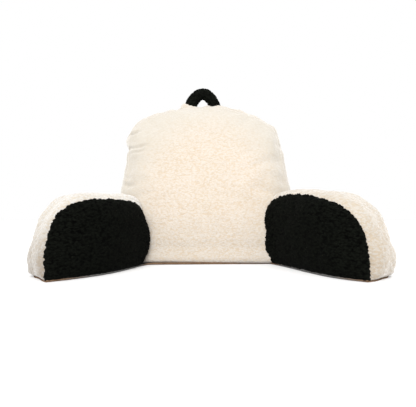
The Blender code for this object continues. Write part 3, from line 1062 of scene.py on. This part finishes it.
def make_arm(arm, black, backrest):
    """An arm and the facing that follows its filled surface. Both end at the backrest and
    get their curls in the model's frame."""
    name, side, *_ = arm
    cream = cream_pile(name)
    cushion = sewn_arm(arm)
    held = held_vertices(cushion)
    cushion = filled(cushion, "arm_cover_" + name, held, foot=0.05, cap=0.006).refined(3)
    cushion = cushion.moved(cushion.vertices() * (1, side, 1))
    points = cushion.vertices()
    body = mesh_object("arm_" + name, points, cushion.faces(), cream)
    outward = normals(body.data)
    seed = SEEDS[name]
    root = 1 - smooth(points[:, 0], *ROOT_FADE)
    tufts = ROOT_TUFTS * root * (nubs(points, seed + ROOT_SEED) - NUB_LEVEL)
    facing = facing_of(cushion, outward, tufts)
    facing_along = facing.vertices()[:, 0]
    cloth = mesh_object("facing_" + name, facing.vertices(), facing.faces(), black)

    covered = cushion.on_first_panel()
    draw = seam_channel(cushion, 0.002, 0.006) * (1 - covered)
    draw *= points[:, 2] > UNDERSIDE_Z + 1e-4
    set_positions(body.data, points - outward * draw[:, None])
    for piece in (body, cloth):
        piece.matrix_world = arm_frame(arm)
        stopped_at(piece, backrest, "x", SEWN_GAP)
        piece.data.transform(piece.matrix_world)
        piece.matrix_world = Matrix.Identity(4)

    above = above_foot(points[:, 2], PILE_FADE)
    pile_surface(body, seed, ARM_NUBS * (1 - covered) * above)
    rim = np.exp(-facing.seam_distance() / RIM_WIDTH)
    rim *= 1 - RIM_TIP_LOSS * smooth(facing_along, *RIM_TIP_FADE)
    pile_surface(cloth, seed + FACING_SEED, facing.on_first_panel() * (1 + RIM_TUFTS * rim))
    for piece, slot, stands_for in (
        (body, "cream_pile", "arm_cushion_" + name),
        (cloth, "black_pile", "arm_facing_" + name),
    ):
        finished(piece, stands_for)


def tube(path, width, depth, around):
    """Closed tube along a path in the XZ plane: an ellipse of the width there across it
    at each point, and a middle point over each end."""
    slope = np.gradient(path, axis=0)
    slope /= np.linalg.norm(slope, axis=1)[:, None]
    turn = np.linspace(0, 2 * np.pi, around, endpoint=False)
    side = np.column_stack([slope[:, 1], -slope[:, 0]])[:, None]
    side = side * np.cos(turn)[None, :, None]
    flat = path[:, None] + side * width[:, None, None] / 2
    y = np.broadcast_to(np.sin(turn) * depth / 2, flat.shape[:2])
    rings = np.stack([flat[..., 0], y, flat[..., 1]], axis=-1)
    ends = np.array([rings[0].mean(axis=0), rings[-1].mean(axis=0)])
    index = np.arange(rings.shape[0] * around).reshape(rings.shape[:2])
    index = np.concatenate([index, index[:, :1]], axis=1)
    middle = np.full((1, around + 1), index.max() + 1)
    fans = [np.concatenate([index[:1], middle]), np.concatenate([index[-1:], middle + 1])]
    faces = np.concatenate([quads(grid) for grid in (index, *fans)])
    return np.concatenate([rings.reshape(-1, 3), ends]), faces


def make_loop(material, backrest):
    """Carry loop: the tube along its points, down to the backrest, with curls."""
    path = evenly(refine(LOOP_POINTS, 24), LOOP_CELLS[0])
    points, faces = tube(path[:, :2], path[:, 2], LOOP_DEPTH, LOOP_CELLS[1])
    points = points + PILLOW + (LOOP_X, LOOP_Y, 0.0)
    obj = mesh_object("loop", points, faces, material)
    stopped_at(obj, backrest, "z", SEWN_GAP)
    pile_surface(obj, SEEDS["loop"], depth=LOOP_NUB_HEIGHT)
    finished(obj, "carry_loop")


def arm_foot(arm):
    """Border of an arm's foot in plan: its inner seam from root to tip, its end from
    the inner seam to the outer, and its outer seam from tip to root."""
    cushion = sewn_arm(arm)
    front, rear = cushion.seams
    tip = ARM_CELLS[0] + 2 * ARM_CELLS[1]
    inner = np.concatenate([cushion.loops[front, tip:], cushion.loops[front, :1]])[::-1]
    inner = inner - (0.0, BASE_MARGIN + FACING_RIM, 0.0)
    inner = np.concatenate([[(BASE_CORNER, inner[0, 1], 0.0)], inner])
    end = cushion.loops[front : rear + 1, tip] + (BASE_MARGIN, 0.0, 0.0)
    end[0] = inner[-1] = (end[0, 0], inner[-1, 1], 0.0)
    outer = np.array([end[-1], cushion.loops[rear, 0]])
    return [placed(line, arm) * (1, 1, 0) for line in (inner, end, outer)]


def make_base(material):
    """Base panel: the patch between the seams of the three feet, with its border turned
    up round them."""
    inner_left, end_left, outer_left = arm_foot(ARMS[0])
    inner_right, end_right, outer_right = arm_foot(ARMS[1])
    back = sewn_backrest()
    corner = BACK_CELLS[0] + 2 * BACK_CELLS[1]
    rear = (back.loops[back.seams[1]][[0, corner]] + PILLOW) * (1, 1, 0)
    outer = evenly(np.concatenate([outer_left, rear, outer_right[::-1]]), BASE_CELLS[0])
    inner = evenly(np.concatenate([inner_left[::-1], inner_right]), BASE_CELLS[0])
    ends = [evenly(line, BASE_CELLS[1]) for line in (end_left, end_right)]
    border = np.concatenate([ends[0][:-1], outer[:-1], ends[1][:0:-1], inner[:0:-1]])
    grid = turned_up(core(border, BASE_CELLS, 0.0))
    index = np.arange(grid.shape[0] * grid.shape[1]).reshape(grid.shape[:2])
    obj = mesh_object("base_cloth", grid.reshape(-1, 3), quads(index), material)
    wall = obj.modifiers.new("Thickness", "SOLIDIFY")
    wall.thickness = BASE_CLOTH
    wall.offset = 1.0
    apply_modifiers(obj)
    low = positions(obj.data)
    set_positions(obj.data, low - (0.0, 0.0, low[:, 2].min()))
    finished(obj, "base_panel")


def turned_up(grid):
    """The grid with rows added on its inner side: each lies out from the border, in
    line with the cells there, and up. The rim is lowest at the tips."""
    edge = grid[0]
    away = edge - grid[1]
    away = away / np.linalg.norm(away, axis=1, keepdims=True)
    steps = np.linalg.norm(np.diff(edge, axis=0), axis=1)
    at = np.concatenate([[0.0], np.cumsum(steps)])
    height = np.interp(at / at[-1], *np.array(BASE_RIM_HEIGHTS).T)
    rows = [
        edge + away * out + np.outer(height * share, (0.0, 0.0, 1.0))
        for out, share in BASE_RIM
    ]
    return np.concatenate([np.array(rows[::-1]), grid])


def finished(piece, node_name):
    """Puts a piece in the model: its body and the node that it stands for."""
    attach(piece, "root")
    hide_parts(node_name)


# Studio


def make_floor():
    """Pale round floor: rings whose radius grows with the square of their number."""
    radius = FLOOR_RADIUS * np.linspace(0.02, 1, FLOOR_RINGS)[:, None] ** 2
    turn = np.linspace(0, 2 * np.pi, FLOOR_SPOKES, endpoint=False)
    x, y = radius * np.cos(turn), radius * np.sin(turn)
    points = np.stack([x, y, 0 * x], axis=-1)
    index = np.arange(x.size).reshape(x.shape)
    index = np.concatenate([index, index[:, :1]], axis=1)
    fan = quads(np.concatenate([index[:1], np.full((1, FLOOR_SPOKES + 1), x.size)]))
    material, _, shader = new_material("pale_floor")
    shader.inputs["Base Color"].default_value = (FLOOR_TONE, FLOOR_TONE, FLOOR_TONE, 1.0)
    shader.inputs["Roughness"].default_value = 0.9
    shader.inputs["Specular IOR Level"].default_value = 0.1
    points = np.concatenate([points.reshape(-1, 3), np.zeros((1, 3))])
    mesh_object("floor", points, np.concatenate([quads(index), fan]), material)


def make_studio():
    """White surroundings, two suns, a soft box and the camera of the photo."""
    scene = bpy.context.scene
    world = bpy.data.worlds.new("studio")
    world.use_nodes = True
    background = world.node_tree.nodes["Background"]
    background.inputs["Color"].default_value = (*WHITE, 1.0)
    background.inputs["Strength"].default_value = 1.0
    scene.world = world
    scene.view_settings.view_transform = "Standard"
    for name, direction, energy, angle in SUNS:
        light = bpy.data.lights.new(name, "SUN")
        light.angle = angle
        light.energy = energy
        sun = added(name, light)
        sun.rotation_euler = Vector(direction).to_track_quat("-Z", "Y").to_euler()
    light = bpy.data.lights.new("soft_box", "AREA")
    light.size = SOFT_BOX_SIZE
    light.energy = SOFT_BOX_ENERGY
    box = added("soft_box", light)
    box.location = SOFT_BOX_PLACE
    aim = Vector(SOFT_BOX_AIM) - Vector(SOFT_BOX_PLACE)
    box.rotation_euler = aim.to_track_quat("-Z", "Y").to_euler()
    camera = bpy.data.cameras.new("camera")
    camera.lens = CAMERA_LENS
    camera.sensor_width = CAMERA_SENSOR
    camera.clip_start = 0.01
    obj = added("camera", camera)
    obj.location = CAMERA_PLACE
    obj.rotation_euler = (radians(90) + CAMERA_TILT, 0.0, 0.0)
    scene.camera = obj


def main():
    """Builds the studio and the pieces."""
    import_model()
    make_studio()
    make_floor()
    black = black_pile("black_curls", 1.0)
    backrest = make_backrest(cream_pile("back"))
    for arm in ARMS:
        make_arm(arm, black, backrest)
    # The loop's copy of the black pile is lighter: painted light on the loop at the top.
    make_loop(black_pile("black_curls_loop", 1.35), backrest)
    make_base(
        woven_material(
            "brown_weave",
            dark=(0.080, 0.046, 0.026),
            light=(0.165, 0.100, 0.058),
            shade_grey=(0.100, 0.098, 0.094),
        )
    )


main()
